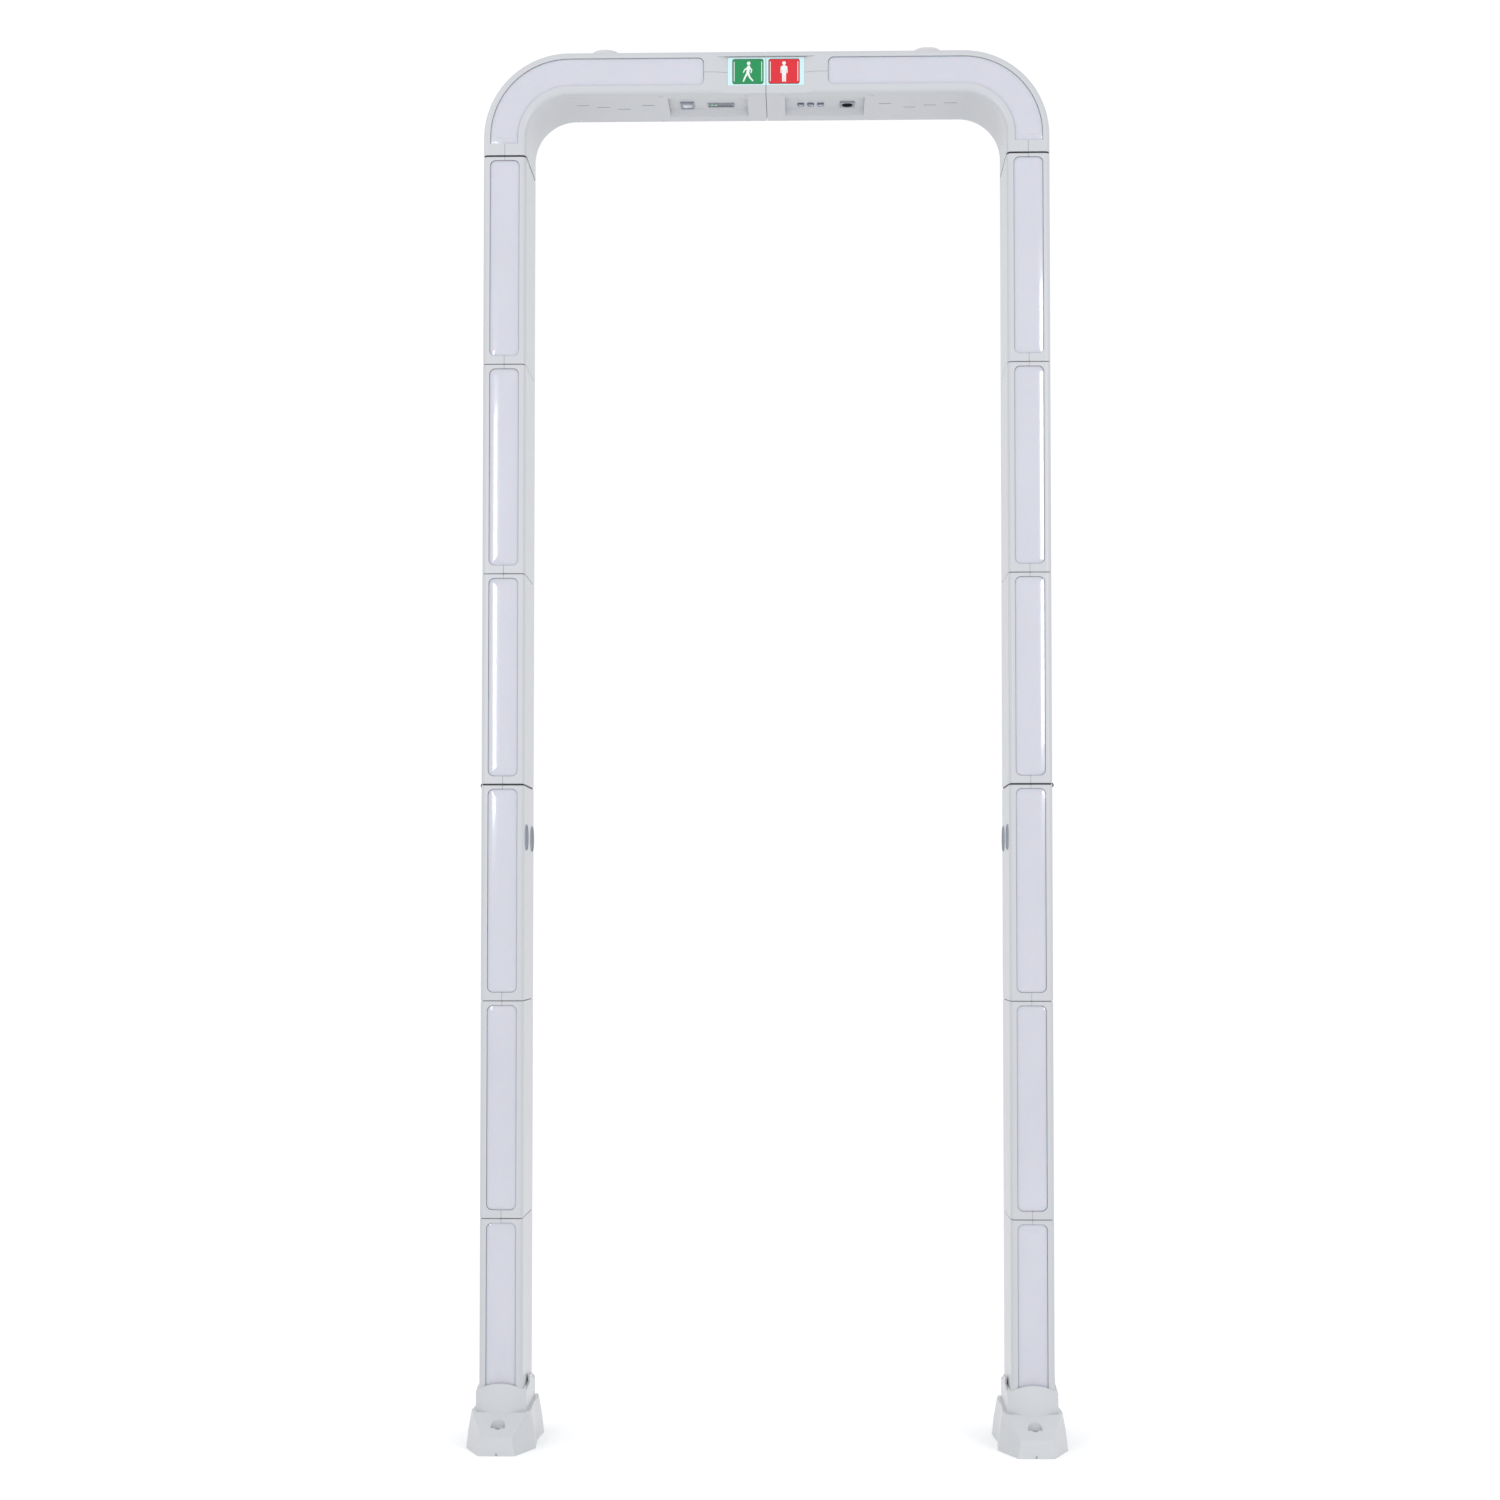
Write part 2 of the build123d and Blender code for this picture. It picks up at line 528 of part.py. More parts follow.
def rocker_bezel():
    """The frame and housing of the power switch."""
    half = (BEZEL_W / 2, BEZEL_L / 2)
    frame = panel_block(-ROCKER_X, half, (0, 0), (ROOF - 2, ROOF))
    frame += panel_block(-ROCKER_X, half, (1.3, 1.3), (ROOF, ROOF + 14))
    frame -= panel_block(-ROCKER_X, half, (2.8, 2.3), (ROOF - 3, ROOF + 12))
    pivot = Rot(0, 90, 0) * Cylinder(1.6, BEZEL_W - 3.6)
    return frame - Pos(-ROCKER_X, PANEL_Y, ROOF + ROCKER_AXIS_H) * pivot


def power_rocker():
    """The rocker, stored with its near half pressed in."""
    w, l = BEZEL_W / 2 - 3.2, BEZEL_L / 2 - 3.4
    outline = [(-l, -2.4), (0, -0.6), (l, -2.4), (l - 1.5, 8), (-l + 1.5, 8)]
    key = Pos(0, 0, -ROCKER_AXIS_H) * slab_x(outline, (-w, w))
    key += Rot(0, 90, 0) * Cylinder(1.55, BEZEL_W - 4.2)
    return Pos(-ROCKER_X, PANEL_Y, ROOF + ROCKER_AXIS_H) * Rot(ROCKER_TILT, 0, 0) * key


def status_display():
    """The zone display in its frame."""
    half = (DISPLAY_W / 2, DISPLAY_L / 2)
    frame = panel_block(-DISPLAY_X, half, (0, 0), (ROOF - 1.2, ROOF))
    frame -= panel_block(-DISPLAY_X, half, (2, 2), (ROOF - 2, ROOF - 0.6))
    return frame + panel_block(-DISPLAY_X, half, (1.2, 1.2), (ROOF, ROOF + 7))


def panel_key(x):
    """A sprung key: a cap through the roof of the recess with a collar above it."""
    w, l = KEY_W / 2, KEY_L / 2
    cap = box((-w, w), (-l, l), (-2.2, TRAY_WALL + 0.4))
    cap = fillet(cap.edges().filter_by(Axis.Z), 1.5)
    cap = chamfer(cap.faces().sort_by(Axis.Z)[0].edges(), 0.5)
    collar = box((-w - 1.2, w + 1.2), (-l - 1.2, l + 1.2), (TRAY_WALL + 0.3, TRAY_WALL + 1.6))
    return Pos(x, PANEL_Y, ROOF) * (cap + collar)


def power_inlet():
    """A round low-voltage inlet in a square flange."""
    half = (SOCKET_FLANGE / 2, SOCKET_FLANGE / 2)
    flange = panel_block(SOCKET_X, half, (0, 0), (ROOF - 2, ROOF))
    flange = fillet(flange.edges().filter_by(Axis.Z), 3)
    body = panel_block(SOCKET_X, half, (2.3, 2.3), (ROOF, ROOF + 12))
    return flange + body - bar_z(INLET_R, SOCKET_X, PANEL_Y, (ROOF - 3, ROOF - 2 + INLET_DEEP))


def control_board():
    """The main board with its chips, above the left recess."""
    bottom = ROOF + MAIN_BOARD_H
    top = bottom + BOARD_T
    board = box(MAIN_BOARD_X, MAIN_BOARD_Y, (bottom, top))
    for x, y, w, l, h in CHIPS:
        board += box((x - w / 2, x + w / 2), (y - l / 2, y + l / 2), (top, top + h))
    return board


# --- feet --------------------------------------------------------------------------------------
def foot_outline(side_w, waist, side_y, front_w, front_y):
    """A ten-cornered outline, wide at its side corners and drawn in at the waist."""
    quarter = [(front_w, -front_y), (side_w, -side_y)]
    right = quarter + [(waist, 0)] + [(x, -y) for x, y in reversed(quarter)]
    return Polygon(*(right + [(-x, y) for x, y in reversed(right)]), align=None)


def foot():
    """A faceted base plate with a bulging collar round the bottom of the leg."""
    faces = [(Pos(0, 0, z) * foot_outline(*widths)).face() for z, *widths in FOOT_RINGS]
    base = loft(faces[:2], ruled=True) + loft(faces[1:], ruled=True)
    return Pos(LEG_X, 0, 0) * (base + collar() - leg_socket() - foot_bolts() - front_notches())


def collar():
    """The sleeve round the leg: bulging front and back, arched top, a tongue on each side."""
    w, edge = COLLAR_HALF_W, COLLAR_FRONT - 10
    line = [Line((-w, -edge), (-w, edge)),
            ThreePointArc((-w, edge), (0, COLLAR_FRONT + COLLAR_BULGE), (w, edge)),
            Line((w, edge), (w, -edge)),
            ThreePointArc((w, -edge), (0, -COLLAR_FRONT - COLLAR_BULGE), (-w, -edge))]
    sleeve = extrude(make_face(line), amount=COLLAR_TOP, dir=(0, 0, 1))
    rise = COLLAR_TOP - COLLAR_SIDE
    arch_r = (w ** 2 + rise ** 2) / (2 * rise)
    arch = bar_y(arch_r, 0, COLLAR_TOP - arch_r, (-FRONT * 2, FRONT * 2))
    low = box((-w, w), (-FRONT * 2, FRONT * 2), (0, COLLAR_SIDE - 12))
    sleeve = sleeve & (arch + low)
    rising = [(-TONGUE_HALF_BASE, COLLAR_SIDE - 14), (-TONGUE_HALF_BASE, COLLAR_SIDE),
              (-TONGUE_HALF_TOP, TONGUE_SHOULDER), (-TONGUE_HALF_TOP, TONGUE_TOP)]
    outline = rising + [(-y, z) for y, z in reversed(rising)]
    for x in (-w, w - TONGUE_T):
        sleeve += slab_x(outline, (x, x + TONGUE_T))
    return sleeve


def leg_socket():
    """The pocket that holds the bottom of the leg."""
    room = 0.3
    face = RectangleRounded(SECTION_T + 2 * room, SECTION_D + 2 * room, EDGE_R + room)
    return extrude(Pos(0, 0, LEG_END_Z) * face, amount=200)


def foot_bolts():
    """Holes for the floor bolts, spot-faced into the slopes in front of and behind the leg."""
    holes = []
    for y in (-FOOT_BOLT_Y, FOOT_BOLT_Y):
        holes.append(bar_z(FOOT_BOLT_R, 0, y, (-1, 80)))
        holes.append(bar_z(FOOT_BORE_R, 0, y, (FOOT_BORE_Z, 80)))
    return holes


def front_notches():
    """A small centring mark at the bottom of the front and back edges."""
    return [box((-1.2, 1.2), (y - 3, y + 3), (-1, 4)) for y in (-FOOT_HALF_D, FOOT_HALF_D)]


# --- all the pieces ----------------------------------------------------------------------------
def left_half(left):
    """Every piece of one side, in left-hand position, by name. The few that differ ask for left."""
    outer, inner = corner_shells(left)
    pieces = {
        "corner_outer_shell": outer, "corner_inner_shell": inner,
        "corner_lenses": both_faces(corner_lens()), "corner_led_boards": both_faces(corner_board()),
        "corner_bulkhead": socket_bulkhead(), "sign_window": sign_window(), "top_cap": top_cap(),
        "underside_screws": underside_screws(), "centre_hinge_leaf": centre_leaf(left),
        "release_button": release_button(),
        "upper_bulkheads": [plug_bulkhead(), knee_bulkhead(upper=True)],
        "lower_bulkhead": knee_bulkhead(upper=False),
        "fold_pin": bar_y(PIN_R, -FOLD_AXIS_X, MID_JOINT_Z, (FOLD_Y[0] - 0.2, FOLD_Y[-1] + 0.2)),
        "people_sensors": [sensor(-SENSOR_Y), sensor(SENSOR_Y)],
        "foot": foot(),
    }
    for upper, half in ((True, "upper"), (False, "lower")):
        for name, solids in half_leg(upper).items():
            pieces[half + "_" + name] = solids
    holes = sensor_holes()
    pieces["lower_inner_shells"][0] -= holes
    return pieces


def gate():
    """Node name to solid or list of solids."""
    nodes = {name + "_left": made for name, made in left_half(True).items()}
    for name, made in left_half(False).items():
        solids = made if isinstance(made, list) else [made]
        nodes[name + "_right"] = [mirror(solid, about=Plane.YZ) for solid in solids]
    pin_z = (CENTRE_Z[0] - 0.2, CENTRE_Z[-1] + 0.2)
    nodes["centre_hinge_pin"] = bar_z(PIN_R, 0, CENTRE_AXIS_Y, pin_z)
    nodes["rocker_bezel"] = rocker_bezel()
    nodes["power_rocker"] = power_rocker()
    nodes["status_display"] = status_display()
    nodes["power_inlet"] = power_inlet()
    nodes["control_board"] = control_board()
    for name, x in KEY_X.items():
        nodes[name] = panel_key(x)
    return nodes


os.makedirs("parts", exist_ok=True)
for node, made in gate().items():
    solids = made if isinstance(made, list) else [made]
    whole = Compound(children=[s for group in solids for s in group.solids()])
    export_step(whole, "parts/" + node + ".step")
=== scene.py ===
"""Looks of the walk-through security gate: shells, feet, light strips, sign, controls, studio."""
import math

import bmesh
import bpy
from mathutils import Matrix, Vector


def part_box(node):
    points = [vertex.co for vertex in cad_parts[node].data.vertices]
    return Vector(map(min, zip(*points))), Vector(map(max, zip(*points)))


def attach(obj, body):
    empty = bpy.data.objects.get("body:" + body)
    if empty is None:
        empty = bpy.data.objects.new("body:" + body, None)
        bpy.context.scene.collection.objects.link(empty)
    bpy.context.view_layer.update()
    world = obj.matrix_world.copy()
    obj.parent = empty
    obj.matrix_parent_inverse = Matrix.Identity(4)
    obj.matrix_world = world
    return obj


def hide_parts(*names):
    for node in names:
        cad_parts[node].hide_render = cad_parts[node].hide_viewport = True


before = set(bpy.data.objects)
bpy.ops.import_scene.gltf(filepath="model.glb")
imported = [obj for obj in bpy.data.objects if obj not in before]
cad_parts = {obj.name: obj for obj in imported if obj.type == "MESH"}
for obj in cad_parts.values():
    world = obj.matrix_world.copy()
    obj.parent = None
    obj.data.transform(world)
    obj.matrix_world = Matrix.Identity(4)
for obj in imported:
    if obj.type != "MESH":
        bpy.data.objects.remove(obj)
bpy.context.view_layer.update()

SIDES = (("left", -1), ("right", 1))
FACINGS = (-1, 1)       # front, rear
MM = 0.001
WELD = 1e-6             # vertices closer than this are one


# --- shader wiring -----------------------------------------------------------------------------
class Wire:
    """A shader socket that arithmetic adds Math nodes to."""

    def __init__(self, finish, socket):
        self.finish = finish
        self.socket = socket

    def math(self, operation, *values):
        inputs = dict(enumerate(values))
        return self.finish.node("ShaderNodeMath", {"operation": operation}, inputs)

    def __add__(self, other):
        return self.math("ADD", self, other)

    def __rsub__(self, other):
        return self.math("SUBTRACT", other, self)

    def __mul__(self, other):
        return self.math("MULTIPLY", self, other)

    def __lt__(self, other):
        return self.math("LESS_THAN", self, other)


class Finish:
    """A procedural material built round one Principled shader."""

    def __init__(self, name, **constants):
        self.material = bpy.data.materials.new(name)
        self.material.use_nodes = True
        self.tree = self.material.node_tree
        self.tree.nodes.clear()
        self.shader = self.tree.nodes.new("ShaderNodeBsdfPrincipled")
        output = self.tree.nodes.new("ShaderNodeOutputMaterial")
        self.tree.links.new(self.shader.outputs["BSDF"], output.inputs["Surface"])
        for socket, value in constants.items():
            self.shader.inputs[socket.replace("_", " ")].default_value = value

    def node(self, kind, settings=None, inputs=None, output=0):
        made = self.tree.nodes.new(kind)
        for name, value in (settings or {}).items():
            if name == "stops":
                fill_ramp(made.color_ramp, value)
            else:
                setattr(made, name, value)
        for key, value in (inputs or {}).items():
            if isinstance(value, Wire):
                self.tree.links.new(value.socket, made.inputs[key])
            else:
                made.inputs[key].default_value = value
        return Wire(self, made.outputs[output])

    def feed(self, socket, wire):
        self.tree.links.new(wire.socket, self.shader.inputs[socket])

    def place(self):
        """The point on the object, in metres."""
        return self.node("ShaderNodeTexCoord", output="Object")

    def noise(self, scale, detail=2.0, place=None):
        inputs = {"Vector": place or self.place(), "Scale": scale, "Detail": detail}
        return self.node("ShaderNodeTexNoise", None, inputs)

    def stretched(self, factors):
        """The point with its axes scaled, for grain that runs one way."""
        return self.node("ShaderNodeVectorMath", {"operation": "MULTIPLY"},
                         {0: self.place(), 1: factors})

    def tint(self, pattern, dark, light, span=(0.3, 0.7)):
        """Base colour that runs from dark to light over a span of the pattern."""
        stops = ((span[0], dark), (span[1], light))
        tone = self.node("ShaderNodeValToRGB", {"stops": stops}, {"Fac": pattern})
        self.feed("Base Color", tone)
        return tone

    def gloss(self, pattern, middle, spread):
        """Roughness that wanders about its middle value."""
        self.feed("Roughness", pattern * spread + (middle - spread / 2))

    def bump(self, height, strength, distance):
        self.feed("Normal", self.node("ShaderNodeBump", None, {
            "Height": height, "Strength": strength, "Distance": distance}))


def fill_ramp(ramp, stops):
    while len(ramp.elements) < len(stops):
        ramp.elements.new(0.5)
    for element, (position, colour) in zip(ramp.elements, stops):
        element.position = position
        element.color = (*colour, 1.0)


def linear(red, green, blue):
    """A display colour, 0 to 255, as linear light."""
    def channel(value):
        value /= 255.0
        return value / 12.92 if value <= 0.04045 else ((value + 0.055) / 1.055) ** 2.4
    return tuple(channel(value) for value in (red, green, blue))


def shade(colour, factor):
    return tuple(min(1.0, channel * factor) for channel in colour)


def moulded(name, colour, rough, variation, coat=0.0, grain=0.18):
    """An injection-moulded plastic: slow tone drift, uneven gloss and a fine orange-peel."""
    finish = Finish(name, Specular_IOR_Level=0.36, Coat_Weight=coat, Coat_Roughness=0.12)
    drift = finish.noise(3.0, 3.0)
    patches = finish.noise(26.0, 4.0)
    orange_peel = finish.noise(1400.0, 2.0)
    finish.tint(drift, shade(colour, 1 - variation), shade(colour, 1 + variation), (0.30, 0.72))
    finish.gloss(patches, rough, 0.10)
    finish.bump(orange_peel, grain, 0.02 * MM)
    return finish.material


def lens_finish():
    """The milky diffuser: glossy skin over a cloudy lavender body."""
    finish = Finish("milky_diffuser", Specular_IOR_Level=0.55, Coat_Weight=0.6, Coat_Roughness=0.05,
                    Subsurface_Weight=0.25, Subsurface_Scale=4.0 * MM)
    cloud = finish.noise(9.0, 3.0)
    patches = finish.noise(40.0, 3.0)
    waviness = finish.noise(60.0, 2.0)
    finish.tint(cloud, shade(LENS_TONE, 0.985), shade(LENS_TONE, 1.015))
    finish.gloss(patches, 0.16, 0.06)
    finish.bump(waviness, 0.10, 0.1 * MM)
    return finish.material


def matt_finish(name, colour, rough=0.5):
    """A fine spark-eroded moulding without gloss."""
    finish = Finish(name, Specular_IOR_Level=0.4)
    finish.tint(finish.noise(120.0, 3.0), shade(colour, 0.8), shade(colour, 1.25))
    finish.gloss(finish.noise(300.0, 2.0), rough, 0.2)
    finish.bump(finish.noise(2600.0, 3.0), 0.35, 0.06 * MM)
    return finish.material


def metal_finish(name, colour, rough, brushed):
    """Zinc or copper with a grain along one axis."""
    finish = Finish(name, Metallic=1.0, Specular_IOR_Level=0.5)
    grain = finish.noise(900.0, 3.0, finish.stretched(brushed))
    finish.tint(grain, shade(colour, 0.82), shade(colour, 1.08), (0.35, 0.65))
    finish.gloss(grain, rough, 0.22)
    finish.bump(grain, 0.12, 0.05 * MM)
    return finish.material


def board_finish():
    """Green solder mask with fine tracks and pads."""
    finish = Finish("solder_mask", Specular_IOR_Level=0.5, Coat_Weight=0.3, Coat_Roughness=0.15)
    tracks = finish.node("ShaderNodeTexVoronoi", {"distance": "CHEBYCHEV", "feature": "F1"},
                         {"Vector": finish.place(), "Scale": 260.0})
    pads = tracks < 0.22
    finish.tint(pads, (0.012, 0.10, 0.035), (0.05, 0.20, 0.07), (0.0, 1.0))
    finish.feed("Roughness", 0.42 - pads * 0.12)
    finish.bump(tracks, 0.2, 0.1 * MM)
    return finish.material


def print_finish(name, colour, rough=0.3, glow=0.0):
    """Screen-printed ink or a tinted film, with a little mottling; glow gives off light, a real
    lamp for the lit indicator and painted light for the sign's pane and white ink.
    """
    finish = Finish(name, Specular_IOR_Level=0.4, Coat_Weight=0.2, Coat_Roughness=0.06)
    mottle = finish.noise(700.0, 3.0)
    tone = finish.tint(mottle, shade(colour, 0.95), shade(colour, 1.05))
    finish.gloss(mottle, rough, 0.08)
    if glow:
        finish.feed("Emission Color", tone)
        finish.shader.inputs["Emission Strength"].default_value = glow
    return finish.material


def smoked_finish():
    """The dull grey-blue dome over a people sensor."""
    finish = Finish("smoked_dome", Specular_IOR_Level=0.2)
    cloud = finish.noise(120.0, 2.0)
    finish.tint(cloud, linear(104, 112, 124), linear(120, 128, 140))
    finish.gloss(cloud, 0.46, 0.08)
    return finish.material


def floor_finish():
    """A pale matt floor that glows a little, so that it meets the sky without an edge."""
    finish = Finish("studio_floor", Specular_IOR_Level=0.1,
                    Emission_Color=(1.0, 1.0, 1.0, 1.0), Emission_Strength=0.12)
    tone = finish.noise(1.2, 2.0)
    finish.tint(tone, (0.88, 0.88, 0.88), (0.90, 0.90, 0.90))
    finish.gloss(tone, 0.925, 0.05)
    return finish.material


SHELL_TONE = linear(183, 185, 189)
LENS_TONE = linear(187, 188, 198)
FOOT_TONE = linear(188, 190, 193)

SHELL = moulded("gloss_shell_plastic", SHELL_TONE, 0.34, 0.012, coat=0.12, grain=0.14)
LENS = lens_finish()
FOOT = moulded("satin_foot_plastic", FOOT_TONE, 0.36, 0.015, coat=0.15, grain=0.22)
CAP = moulded("cap_plastic", linear(196, 196, 199), 0.33, 0.015, coat=0.1)
DARK = matt_finish("matt_black_plastic", (0.018, 0.018, 0.021))
# Painted shade: the groove walls round each lens are coloured darker than the lens, for the shade
# in the gap between lens and shell.
GROOVE_SHADE = matt_finish("lens_groove_shade", linear(168, 169, 178), 0.6)
# Painted shade: dark matt colour for the strips that stand in for the shade in the groove between
# outer and inner shells.
SEAM_SHADE = matt_finish("seam_shadow", linear(92, 95, 102), 0.7)
GREY_KEY = matt_finish("grey_rocker_plastic", linear(196, 199, 206), 0.4)
KEYCAP = matt_finish("key_plastic", linear(98, 106, 128), 0.42)
FRAME_GREY = moulded("panel_frame_plastic", linear(136, 141, 152), 0.36, 0.02)
STEEL = metal_finish("zinc_steel", (0.62, 0.63, 0.65), 0.32, (1.0, 0.12, 1.0))
COPPER = metal_finish("enamelled_copper", (0.72, 0.36, 0.20), 0.35, (1.0, 1.0, 0.1))
BOARD = board_finish()
# Painted light: the sign's pane glows faintly though it is no lamp, so that it reads brighter.
SIGN_PANE_PAINTED_GLOW = print_finish("sign_pane_painted_glow", linear(180, 210, 213), 0.22, glow=0.10)
SENSOR = smoked_finish()
SENSOR_RING = moulded("sensor_ring_plastic", linear(140, 147, 158), 0.5, 0.02)
GO_INK = print_finish("go_green", linear(0, 128, 72))
STOP_INK = print_finish("stop_red", linear(198, 24, 38))
# Painted light: the white ink glows faintly though it is no lamp, so that it reads brighter.
WHITE_INK_PAINTED_GLOW = print_finish("white_ink_painted_glow", linear(208, 214, 212), glow=0.05)
EDGE_INK = print_finish("dark_edge_ink", linear(70, 78, 84))
SCREEN = print_finish("smoked_screen", linear(58, 66, 84), 0.2)
LED_ON = print_finish("indicator_green", linear(120, 220, 140), glow=0.5)
LED_OFF = print_finish("indicator_dark", linear(92, 30, 32))

# Finishes of the nodes that come as a left and a right one, then of the single ones.
NODE_FINISH = {
    "corner_led_boards": BOARD, "upper_led_boards": BOARD, "lower_led_boards": BOARD,
    "corner_bulkhead": DARK, "upper_bulkheads": DARK, "lower_bulkhead": DARK,
    "top_cap": CAP, "underside_screws": STEEL, "centre_hinge_leaf": STEEL, "fold_pin": STEEL,
    "upper_coil_windings": COPPER, "lower_coil_windings": COPPER, "sign_window": SIGN_PANE_PAINTED_GLOW,
    "people_sensors": SENSOR, "release_button": GREY_KEY,
    "corner_outer_shell": SHELL, "corner_inner_shell": SHELL,
    "upper_outer_shells": SHELL, "upper_inner_shells": SHELL,
    "lower_outer_shells": SHELL, "lower_inner_shells": SHELL, "foot": FOOT,
    "corner_lenses": LENS, "upper_lenses": LENS, "lower_lenses": LENS,
}
ONE_OFF_FINISH = {
    "centre_hinge_pin": STEEL, "rocker_bezel": FRAME_GREY, "power_rocker": GREY_KEY,
    "status_display": FRAME_GREY, "power_inlet": FRAME_GREY, "control_board": BOARD,
    "menu_key": KEYCAP, "level_key": KEYCAP, "alarm_key": KEYCAP,
}


def paint(obj, material):
    obj.data.materials.clear()
    obj.data.materials.append(material)


def finish_frame():
    """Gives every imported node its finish."""
    for name, material in ONE_OFF_FINISH.items():
        paint(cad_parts[name], material)
    for name, material in NODE_FINISH.items():
        for side, _ in SIDES:
            paint(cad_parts[name + "_" + side], material)


# --- mesh helpers ------------------------------------------------------------------------------
def piece(name, mesh, body, *materials, slot=None):
    obj = bpy.data.objects.new(name, mesh)
    bpy.context.scene.collection.objects.link(obj)
    for material in materials:
        mesh.materials.append(material)
    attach(obj, body)
    return obj


def mesh_of(bm, name, angle=35.0):
    """Finishes a bmesh: outward normals, smooth shading with creases above an angle."""
    bmesh.ops.recalc_face_normals(bm, faces=bm.faces)
    for face in bm.faces:
        face.smooth = True
    for edge in bm.edges:
        if len(edge.link_faces) == 2:
            edge.smooth = edge.calc_face_angle(0.0) < math.radians(angle)
    mesh = bpy.data.meshes.new(name)
    bm.to_mesh(mesh)
    bm.free()
    return mesh


def arc_points(x, z, radius, start, end, steps):
    """Points along an arc, from one angle to another in degrees."""
    points = []
    for i in range(steps + 1):
        angle = math.radians(start + (end - start) * i / steps)
        points.append((x + radius * math.cos(angle), z + radius * math.sin(angle)))
    return points


def disc_points(x, z, radius, count=28):
    return [(x + radius * math.cos(2 * math.pi * i / count),
             z + radius * math.sin(2 * math.pi * i / count)) for i in range(count)]


def rounded_outline(half_w, half_h, radius, steps=6):
    """Corners of a rounded rectangle in a plane, anticlockwise from the lower right."""
    points = []
    for quarter, (sx, sz) in enumerate(((1, -1), (1, 1), (-1, 1), (-1, -1))):
        start = -90 + 90 * quarter
        points += arc_points(sx * (half_w - radius), sz * (half_h - radius), radius,
                             start, start + 90, steps)
    return points


def skin_rings(bm, rings, material_of=None, close_last=True):
    """Quads between rings of equal length, then a face across the last."""
    rows = [[bm.verts.new(point) for point in ring] for ring in rings]
    for level, (low, high) in enumerate(zip(rows, rows[1:])):
        for i in range(len(low)):
            j = (i + 1) % len(low)
            face = bm.faces.new((low[i], low[j], high[j], high[i]))
            if material_of:
                face.material_index = material_of(level)
    if close_last:
        bm.faces.new(rows[-1])
    return rows


def raised_shape(bm, face_points, root_points, material_index=0):
    """A face with walls back to its root, for print and thin parts on a surface."""
    near = [bm.verts.new(point) for point in face_points]
    far = [bm.verts.new(point) for point in root_points]
    faces = [bm.faces.new(near)]
    for i in range(len(near)):
        j = (i + 1) % len(near)
        faces.append(bm.faces.new((near[i], far[i], far[j], near[j])))
    for face in faces:
        face.material_index = material_index


SAME_PLANE = math.radians(0.6)


def softened(node, body, material, width, segments=2, angle=28.0):
    """A moulding with its sharp edges eased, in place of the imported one."""
    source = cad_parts[node]
    bm = bmesh.new()
    bm.from_mesh(source.data)
    bm.transform(source.matrix_world)
    bmesh.ops.remove_doubles(bm, verts=bm.verts, dist=WELD)
    bmesh.ops.dissolve_limit(bm, angle_limit=SAME_PLANE, verts=bm.verts, edges=bm.edges)
    sharp = [e for e in bm.edges if len(e.link_faces) == 2
             and e.calc_face_angle(0.0) > math.radians(angle)]
    bmesh.ops.bevel(bm, geom=sharp, offset=width, segments=segments, profile=0.5,
                    affect="EDGES", clamp_overlap=True)
    obj = piece(node + "_eased", mesh_of(bm, node), body, material)
    even = obj.modifiers.new("flat_faces_stay_flat", "WEIGHTED_NORMAL")
    even.keep_sharp = True
    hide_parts(node)


SHELL_EASE, FOOT_EASE = 0.45 * MM, 1.6 * MM
FOOT_FACET_ANGLE = 16.0


def ease_mouldings():
    """Shells and feet with their cut edges eased as a tool leaves them."""
    for side, _ in SIDES:
        for part, body in (("corner", "top"), ("upper", "upper_leg"), ("lower", "lower_leg")):
            for layer in ("outer", "inner"):
                node = part + "_" + layer + ("_shell_" if part == "corner" else "_shells_") + side
                softened(node, body + "_" + side, SHELL, SHELL_EASE)
        softened("foot_" + side, "lower_leg_" + side, FOOT, FOOT_EASE, 3, FOOT_FACET_ANGLE)


# --- light strips ------------------------------------------------------------------------------
FRONT_Y = 0.070                                 # from the gate's mid plane to its faces
GROOVE_DEPTH = 3.0 * MM
LENS_DROP = 2.0 * MM                            # how far a lens's edge lies behind the face
LENS_ROUND = 0.5 * MM                           # radius of its edge
LENS_CROWN = 0.15 * MM                          # how far its middle lies behind the face
ROUND_STEPS = 4
CROWN_PARTS = (0.05, 0.1, 0.16, 0.23, 0.31, 0.4, 0.5, 0.62, 0.8)
GROOVE_SHADE_LEVELS = 2                               # the first rings of a lens are its groove walls, coloured with painted shade
SMALLEST_R = 0.4 * MM
LENS_CREASE = 50.0

RIM = 2.5 * MM                                  # CAD lens beyond the visible one, top and bottom
LEG_LENS_R = 9.0 * MM


def lens_profile(half_w):
    """Inset from the edge and depth behind the leg's face, from the groove to the middle."""
    levels = [(0.0, GROOVE_DEPTH), (0.0, LENS_DROP + LENS_ROUND)]
    for i in range(1, ROUND_STEPS + 1):
        turn = math.radians(90.0 / ROUND_STEPS * i)
        levels.append((LENS_ROUND * (1 - math.cos(turn)),
                       LENS_DROP + LENS_ROUND * (1 - math.sin(turn))))
    reach = half_w - LENS_ROUND
    for part in CROWN_PARTS:
        fall = (LENS_DROP - LENS_CROWN) * (1 - part) ** 3
        levels.append((LENS_ROUND + reach * part, LENS_CROWN + fall))
    return levels


def leg_lens_outline(x, z, half_w, half_h, radius):
    def at(inset):
        corner = max(radius - inset, SMALLEST_R)
        shape = rounded_outline(half_w - inset, half_h - inset, corner)
        return [(x + u, z + v) for u, v in shape]
    return at


def lens_solid(bm, outline, half_w, facing):
    """One crowned lens over its groove, whose walls carry painted shade, facing the front (-1) or
    the rear (+1).
    """
    rings = []
    for inset, depth in lens_profile(half_w):
        y = facing * (FRONT_Y - depth)
        rings.append([(x, y, z) for x, z in outline(inset)])
    skin_rings(bm, rings, lambda level: 1 if level < GROOVE_SHADE_LEVELS else 0)


